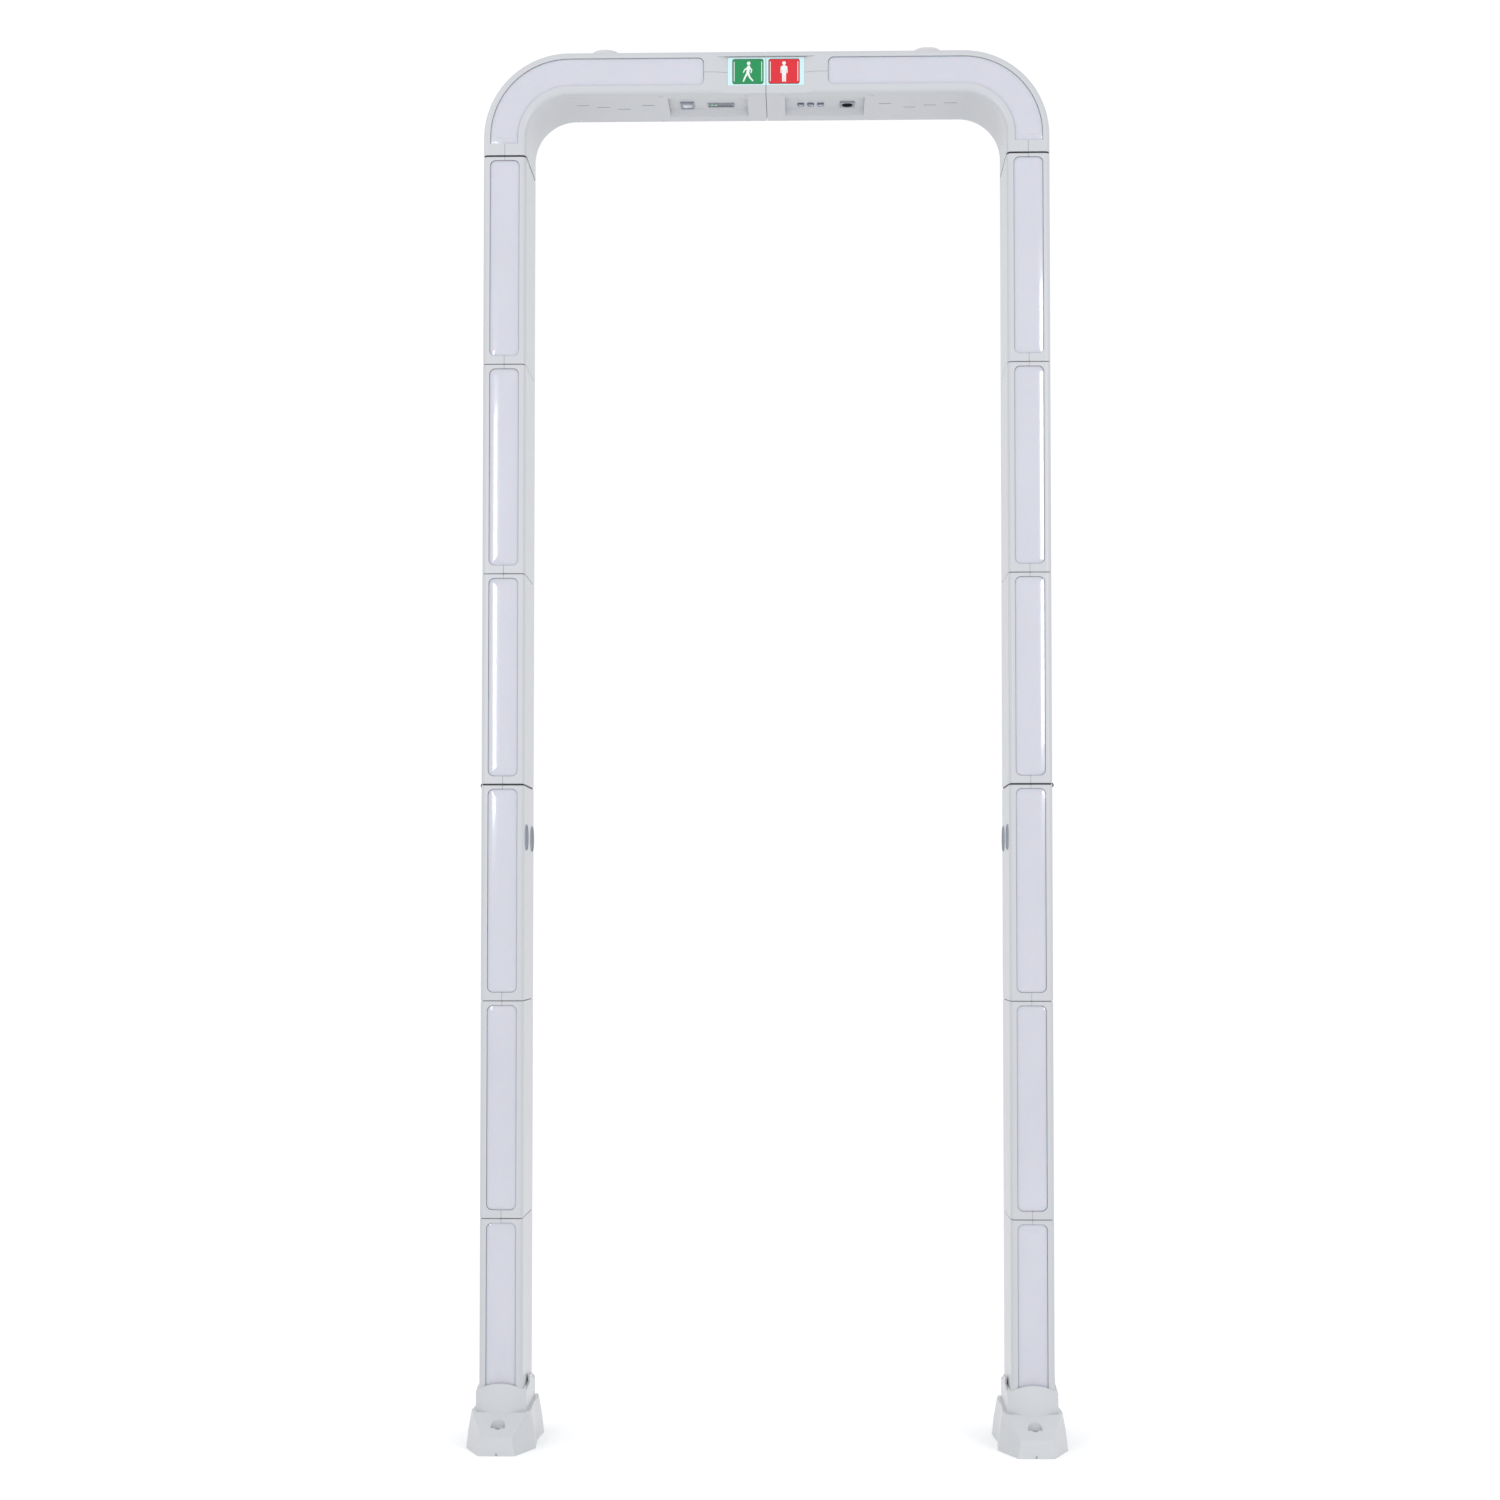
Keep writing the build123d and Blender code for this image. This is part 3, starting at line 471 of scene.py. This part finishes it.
def front_lens_boxes(node):
    """Boxes (low, high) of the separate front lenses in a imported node, from the lowest up."""
    bm = bmesh.new()
    bm.from_mesh(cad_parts[node].data)
    bmesh.ops.remove_doubles(bm, verts=bm.verts, dist=WELD)
    left, boxes = set(bm.verts), []
    while left:
        stack, found = [left.pop()], []
        while stack:
            vert = stack.pop()
            found.append(vert.co.copy())
            for edge in vert.link_edges:
                other = edge.other_vert(vert)
                if other in left:
                    left.discard(other)
                    stack.append(other)
        low = Vector([min(p[i] for p in found) for i in range(3)])
        high = Vector([max(p[i] for p in found) for i in range(3)])
        if high.y < 0:
            boxes.append((low, high))
    bm.free()
    return sorted(boxes, key=lambda box: box[0].z)


def leg_lenses():
    """Crowned lenses in the modules of both legs, front and rear."""
    for side, _ in SIDES:
        for half in ("upper", "lower"):
            node = half + "_lenses_" + side
            bm = bmesh.new()
            for low, high in front_lens_boxes(node):
                half_w = (high.x - low.x) / 2
                half_h = (high.z - low.z) / 2 - RIM
                outline = leg_lens_outline((low.x + high.x) / 2, (low.z + high.z) / 2,
                                           half_w, half_h, LEG_LENS_R)
                for facing in FACINGS:
                    lens_solid(bm, outline, half_w, facing)
            obj = piece(half + "_light_strips_" + side, mesh_of(bm, node, LENS_CREASE),
                        half + "_leg_" + side, LENS, GROOVE_SHADE, slot="milky_lens")
            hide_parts(node)


SEAM_X = 0.414
MODULE_ABOVE, MODULE_BELOW = 7.0 * MM, 13.5 * MM     # from a lens to the ends of its module
SEAM_HALF, SEAM_DEPTH, SEAM_R = 0.32 * MM, 0.10 * MM, 0.2 * MM
SEAM_ROOT, SEAM_EASE = 0.6 * MM, 0.08 * MM
SEAM_LEVELS = ((0.0, SEAM_ROOT), (0.0, SEAM_DEPTH + SEAM_EASE), (SEAM_EASE, SEAM_DEPTH))


def seam_shade_strip(bm, x, bottom, top, facing):
    """One thin dark strip of painted shade, sunk just under the leg's face."""
    middle, half_h = (top + bottom) / 2, (top - bottom) / 2
    rings = []
    for inset, depth in SEAM_LEVELS:
        y = facing * (FRONT_Y - depth)
        outline = rounded_outline(SEAM_HALF - inset, half_h - inset, SEAM_R, 2)
        rings.append([(x + u, y, middle + v) for u, v in outline])
    skin_rings(bm, rings)


def seam_strips():
    """Painted shade along the parting line between the outer and inner shells: dark strips above
    and below each lens.
    """
    for side, way in SIDES:
        for half in ("upper", "lower"):
            bm = bmesh.new()
            for low, high in front_lens_boxes(half + "_lenses_" + side):
                lens_low, lens_high = low.z + RIM, high.z - RIM
                for facing in FACINGS:
                    seam_shade_strip(bm, way * SEAM_X, lens_high, lens_high + MODULE_ABOVE, facing)
                    seam_shade_strip(bm, way * SEAM_X, lens_low - MODULE_BELOW, lens_low, facing)
            piece(half + "_parting_lines_" + side, mesh_of(bm, "seam_shade_strip"),
                  half + "_leg_" + side, SEAM_SHADE, slot="shell_plastic")


BEND_X, BEND_Z, BAR_LENS_Z = 0.312, 2.064, 2.1672
BEND_MID_R = BAR_LENS_Z - BEND_Z
CORNER_HALF_W = 43.5 * MM / 2
CORNER_END_X, CORNER_END_Z = 0.0985, 2.054
CORNER_END_INSET = 9.0 * MM                     # the most that the lower end draws in
CORNER_END_STEPS, BEND_STEPS = 6, 24


def corner_lens_outline(way):
    """Outline of the lens that follows the arch: round on the crossbar, square above the joint."""
    def at(inset):
        half = CORNER_HALF_W - inset
        radius = max(LEG_LENS_R - inset, SMALLEST_R)
        round_x = CORNER_END_X + inset + radius
        end_z = CORNER_END_Z + min(inset, CORNER_END_INSET)
        inner_r, outer_r = BEND_MID_R - half, BEND_MID_R + half
        points = arc_points(round_x, BAR_LENS_Z + half - radius, radius, 90, 180, CORNER_END_STEPS)
        points += arc_points(round_x, BAR_LENS_Z - half + radius, radius, 180, 270,
                             CORNER_END_STEPS)
        points += arc_points(BEND_X, BEND_Z, inner_r, 90, 0, BEND_STEPS)
        points += [(BEND_X + inner_r, end_z), (BEND_X + outer_r, end_z)]
        points += arc_points(BEND_X, BEND_Z, outer_r, 0, 90, BEND_STEPS)
        return [(way * x, z) for x, z in points]
    return at


def corner_lenses():
    for side, way in SIDES:
        bm = bmesh.new()
        for facing in FACINGS:
            lens_solid(bm, corner_lens_outline(way), CORNER_HALF_W, facing)
        obj = piece("corner_light_strips_" + side, mesh_of(bm, "corner_lens", LENS_CREASE),
                    "top_" + side, LENS, GROOVE_SHADE, slot="milky_lens")
        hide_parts("corner_lenses_" + side)


# --- sign --------------------------------------------------------------------------------------
PANE_Y = -0.066
GO_X, WAIT_X = -0.02855, 0.0287
FIELD_W, FIELD_H, FIELD_R = 49.6 * MM, 40.5 * MM, 3.5 * MM
EDGE_W, INNER_R = 0.9 * MM, 2.7 * MM
BAR_W, BAR_INSET, BAR_SHORT, BAR_R = 1.1 * MM, 3.0 * MM, 4.5 * MM, 0.4 * MM
EDGE_T, INK_T, WHITE_T = 0.10 * MM, 0.18 * MM, 0.26 * MM
STROKE_LIFT = 0.01 * MM                         # keeps crossing strokes off one plane
FIGURE_PART = 0.98                              # of the field's half height
HEAD_Z, HEAD_R = 0.66, 0.145                    # in parts of the figure

# Strokes of the generic pictograms, in parts of the figure: ends, then half widths.
WALKING = (
    (0.06, 0.36, -0.02, -0.14, 0.135, 0.12),    # body
    (0.04, 0.36, -0.26, 0.14, 0.06, 0.05),      # leading arm
    (-0.26, 0.14, -0.36, -0.06, 0.05, 0.045),
    (0.10, 0.36, 0.30, 0.12, 0.06, 0.05),       # trailing arm
    (0.30, 0.12, 0.24, -0.10, 0.05, 0.045),
    (-0.04, -0.14, -0.22, -0.44, 0.085, 0.07),  # leading leg
    (-0.22, -0.44, -0.36, -0.78, 0.07, 0.055),
    (0.02, -0.14, 0.14, -0.46, 0.085, 0.07),    # trailing leg
    (0.14, -0.46, 0.38, -0.74, 0.07, 0.055),
)
STANDING = (
    (0.0, 0.34, 0.0, -0.12, 0.17, 0.14),        # body
    (-0.20, 0.36, -0.24, -0.10, 0.06, 0.05),    # arms
    (0.20, 0.36, 0.24, -0.10, 0.06, 0.05),
    (-0.085, -0.12, -0.085, -0.78, 0.08, 0.07),     # legs
    (0.085, -0.12, 0.085, -0.78, 0.08, 0.07),
)


def printed(bm, points, thickness, material_index):
    """A thin raised print on the sign's pane, from (x, z) points."""
    raised_shape(bm, [(x, PANE_Y - thickness, z) for x, z in points],
                 [(x, PANE_Y, z) for x, z in points], material_index)


def limb(x0, z0, x1, z1, w0, w1, steps=6):
    """A tapered stroke with round ends, as an outline."""
    along = math.atan2(z1 - z0, x1 - x0)
    points = []
    for cx, cz, r, start in ((x1, z1, w1, along - math.pi / 2), (x0, z0, w0, along + math.pi / 2)):
        for i in range(steps + 1):
            angle = start + math.pi * i / steps
            points.append((cx + r * math.cos(angle), cz + r * math.sin(angle)))
    return points


def sign_field(name, body, centre_x, ink, strokes, head_x):
    """A coloured field with its dark edge, two thin bars and a figure, on the sign's pane."""
    low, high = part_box("sign_window_left")
    z = (low.z + high.z) / 2
    half_w, half_h = FIELD_W / 2, FIELD_H / 2

    def oblong(x, half_x, half_z, radius, steps=6):
        return [(x + u, z + v) for u, v in rounded_outline(half_x, half_z, radius, steps)]

    bm = bmesh.new()
    printed(bm, oblong(centre_x, half_w, half_h, FIELD_R), EDGE_T, 0)
    printed(bm, oblong(centre_x, half_w - EDGE_W, half_h - EDGE_W, INNER_R), INK_T, 1)
    for way in (-1, 1):
        bar_x = centre_x + way * (half_w - BAR_INSET)
        printed(bm, oblong(bar_x, BAR_W / 2, half_h - BAR_SHORT, BAR_R, 3), WHITE_T, 2)
    scale = half_h * FIGURE_PART
    for index, stroke in enumerate(strokes):
        x0, z0, x1, z1, w0, w1 = (value * scale for value in stroke)
        points = limb(centre_x + x0, z + z0, centre_x + x1, z + z1, w0, w1)
        printed(bm, points, WHITE_T + STROKE_LIFT * index, 2)
    head = disc_points(centre_x + head_x * scale, z + HEAD_Z * scale, HEAD_R * scale)
    printed(bm, head, WHITE_T, 2)
    piece(name, mesh_of(bm, name), body, EDGE_INK, ink, WHITE_INK_PAINTED_GLOW, slot="sign_cover")


def sign():
    sign_field("go_sign", "top_left", GO_X, GO_INK, WALKING, 0.06)
    sign_field("wait_sign", "top_right", WAIT_X, STOP_INK, STANDING, 0.0)


# --- people sensors ----------------------------------------------------------------------------
INNER_FACE_X = 0.380
SENSOR_Y, SENSOR_Z, SENSOR_R = 0.038, 0.954, 0.019
RING_STEPS = 56
# Radius beyond the dome's and height above the inner face, from the inside out, in mm.
RING_PROFILE = ((-0.2, 0.4), (-0.1, 1.1), (0.5, 1.5), (1.3, 1.2), (1.8, 0.4), (1.9, 0.0))


def sensor_rings():
    """A slim raised ring round each sensor dome."""
    for side, way in SIDES:
        bm = bmesh.new()
        for y in (-SENSOR_Y, SENSOR_Y):
            rings = []
            for beyond, height in RING_PROFILE:
                x = way * (INNER_FACE_X - height * MM)
                circle = disc_points(y, SENSOR_Z, SENSOR_R + beyond * MM, RING_STEPS)
                rings.append([(x, u, v) for u, v in circle])
            skin_rings(bm, rings, close_last=False)
        piece("sensor_rings_" + side, mesh_of(bm, "sensor_ring"), "lower_leg_" + side, SENSOR_RING,
              slot="sensor_window")


# --- controls under the crossbar ---------------------------------------------------------------
PRINT_T = 0.08 * MM
MENU_LINE, MENU_PITCH = (2.8 * MM, 0.5 * MM), 2.2 * MM
LEVEL_BARS, LEVEL_PITCH, LEVEL_HALF_W = 4, 1.8 * MM, 0.55 * MM
LEVEL_SHORT, LEVEL_STEP, LEVEL_FOOT = 0.8, 0.8, 3.2 * MM
ALARM_DOT_R, ALARM_ARCS, ALARM_LINE = 1.5 * MM, (2.5 * MM, 3.6 * MM), 0.3 * MM
ALARM_SPREAD = 42                               # degrees to each side
SCREEN_SUNK, SCREEN_BORDER, SCREEN_R, SCREEN_T = 0.6 * MM, 2.1 * MM, 1.0 * MM, 0.1 * MM
LAMPS, LAMPS_ON, LAMP_PITCH, LAMP_T = 6, 2, 5.8 * MM, 0.06 * MM
LAMP_HALF_W, LAMP_HALF_L, LAMP_R = 1.9 * MM, 1.1 * MM, 0.4 * MM
# Radius and height above the inlet's lower face, in mm.
LINER_PROFILE = ((7.9, 7.6), (7.9, 0.1), (8.2, -0.25), (8.9, -0.25), (9.1, 0.05))
PIN_PROFILE = ((1.0, 7.5), (1.0, 2.6), (0.6, 2.1))
LINER_STEPS, PIN_STEPS = 40, 20


def raised_down(bm, points, z, thickness, material_index=0):
    """A thin raised shape on a surface that faces the floor, from (x, y) points."""
    raised_shape(bm, [(x, y, z - thickness) for x, y in points],
                 [(x, y, z + thickness) for x, y in points], material_index)


def block(centre, half_w, half_l, radius=0.2 * MM):
    return [(centre[0] + u, centre[1] + v) for u, v in rounded_outline(half_w, half_l, radius, 3)]


def arc_band(centre, radius, half, start, end, steps=10):
    """Outline of a thin arc."""
    outer = arc_points(*centre, radius + half, start, end, steps)
    inner = arc_points(*centre, radius - half, start, end, steps)
    return outer + inner[::-1]


def key_legend(node, draw):
    """A printed mark on the underside of a key."""
    low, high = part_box(node)
    middle = (low + high) / 2
    bm = bmesh.new()
    draw(bm, (middle.x, middle.y), low.z)
    piece(node + "_mark", mesh_of(bm, node), node, WHITE_INK_PAINTED_GLOW, slot="dark_plastic")


def menu_mark(bm, centre, z):
    """Three lines."""
    for step in (-1, 0, 1):
        line = block((centre[0], centre[1] + step * MENU_PITCH), *MENU_LINE)
        raised_down(bm, line, z, PRINT_T)


def level_mark(bm, centre, z):
    """Bars that grow to the right."""
    for step in range(LEVEL_BARS):
        half = (LEVEL_SHORT + LEVEL_STEP * step) * MM
        x = centre[0] + (step - (LEVEL_BARS - 1) / 2) * LEVEL_PITCH
        bar = block((x, centre[1] - LEVEL_FOOT + half), LEVEL_HALF_W, half)
        raised_down(bm, bar, z, PRINT_T)


def alarm_mark(bm, centre, z):
    """A dot with two arcs to each side."""
    raised_down(bm, disc_points(*centre, ALARM_DOT_R), z, PRINT_T)
    for radius in ALARM_ARCS:
        for aim in (180, 0):
            arc = arc_band(centre, radius, ALARM_LINE, aim - ALARM_SPREAD, aim + ALARM_SPREAD)
            raised_down(bm, arc, z, PRINT_T)


def display_screen():
    """The smoked pane of the zone display with its row of indicators."""
    low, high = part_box("status_display")
    centre = ((low.x + high.x) / 2, (low.y + high.y) / 2)
    z = low.z + SCREEN_SUNK
    bm = bmesh.new()
    pane = block(centre, (high.x - low.x) / 2 - SCREEN_BORDER,
                 (high.y - low.y) / 2 - SCREEN_BORDER, SCREEN_R)
    raised_down(bm, pane, z, SCREEN_T, 0)
    for index in range(LAMPS):
        x = centre[0] + (index - (LAMPS - 1) / 2) * LAMP_PITCH
        lamp = block((x, centre[1]), LAMP_HALF_W, LAMP_HALF_L, LAMP_R)
        raised_down(bm, lamp, z - SCREEN_T, LAMP_T, 1 if index < LAMPS_ON else 2)
    piece("zone_display_screen", mesh_of(bm, "display"), "top_left", SCREEN, LED_ON, LED_OFF,
          slot="dark_plastic")


def inlet_core():
    """The dark liner of the round inlet, with its pin."""
    low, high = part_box("power_inlet")
    centre = ((low.x + high.x) / 2, (low.y + high.y) / 2)

    def turned(profile, count):
        return [[(x, y, low.z + lift * MM) for x, y in disc_points(*centre, radius * MM, count)]
                for radius, lift in profile]

    bm = bmesh.new()
    rows = skin_rings(bm, turned(LINER_PROFILE, LINER_STEPS), close_last=False)
    bm.faces.new(rows[0])
    skin_rings(bm, turned(PIN_PROFILE, PIN_STEPS), lambda level: 1)
    piece("inlet_core", mesh_of(bm, "inlet_core"), "top_right", DARK, STEEL, slot="dark_plastic")


def controls():
    key_legend("menu_key", menu_mark)
    key_legend("level_key", level_mark)
    key_legend("alarm_key", alarm_mark)
    display_screen()
    inlet_core()


# --- studio ------------------------------------------------------------------------------------
FLOOR_HALF, FLOOR_CELLS = 30.0, 6
SKY_COLOUR, SKY_STRENGTH = (0.985, 0.99, 1.0, 1.0), 1.03
# Name, place, aim, width, height and power of each soft light.
SOFTBOXES = (
    ("front_left_softbox", (-1.45, -3.4, 1.78), (-0.3, 0.0, 1.6), 0.5, 1.25, 17.0),
    ("front_right_softbox", (2.1, -3.4, 2.05), (0.3, 0.0, 1.8), 0.7, 1.5, 30.0),
    ("left_high_softbox", (-2.4, -1.2, 3.4), (0.4, 0.0, 1.85), 1.2, 1.2, 10.0),
)
CAMERA_PLACE = (0.0596, -3.80, 0.82)
CAMERA_TILT, CAMERA_TURN = 1.973, 1.302         # degrees up and to the left
CAMERA_LENS, CAMERA_SENSOR, CAMERA_SHIFT = 57.22, 36.0, 0.06


def studio_floor():
    """A plain floor that runs out far enough to meet the light sky."""
    bm = bmesh.new()
    bmesh.ops.create_grid(bm, x_segments=FLOOR_CELLS, y_segments=FLOOR_CELLS, size=FLOOR_HALF)
    mesh = bpy.data.meshes.new("studio_floor")
    bm.to_mesh(mesh)
    bm.free()
    floor = bpy.data.objects.new("studio_floor", mesh)
    bpy.context.scene.collection.objects.link(floor)
    mesh.materials.append(floor_finish())


def softbox(name, place, aim, width, height, power):
    data = bpy.data.lights.new(name, "AREA")
    data.shape = "RECTANGLE"
    data.size = width
    data.size_y = height
    data.energy = power
    lamp = bpy.data.objects.new(name, data)
    lamp.location = place
    lamp.rotation_euler = (Vector(aim) - Vector(place)).to_track_quat("-Z", "Y").to_euler()
    bpy.context.scene.collection.objects.link(lamp)


def sky():
    world = bpy.data.worlds.new("studio_sky")
    bpy.context.scene.world = world
    world.use_nodes = True
    background = world.node_tree.nodes["Background"]
    background.inputs["Color"].default_value = SKY_COLOUR
    background.inputs["Strength"].default_value = SKY_STRENGTH


def studio_lights():
    sky()
    for light in SOFTBOXES:
        softbox(*light)


def camera():
    data = bpy.data.cameras.new("gate_camera")
    data.lens = CAMERA_LENS
    data.sensor_width = CAMERA_SENSOR
    data.shift_y = CAMERA_SHIFT
    eye = bpy.data.objects.new("gate_camera", data)
    eye.location = CAMERA_PLACE
    eye.rotation_euler = (math.radians(90 + CAMERA_TILT), 0.0, math.radians(CAMERA_TURN))
    bpy.context.scene.collection.objects.link(eye)
    bpy.context.scene.camera = eye


def dress_gate():
    finish_frame()
    ease_mouldings()
    leg_lenses()
    seam_strips()
    corner_lenses()
    sign()
    sensor_rings()
    controls()


dress_gate()
studio_floor()
studio_lights()
camera()
bpy.context.scene.view_settings.view_transform = "Standard"
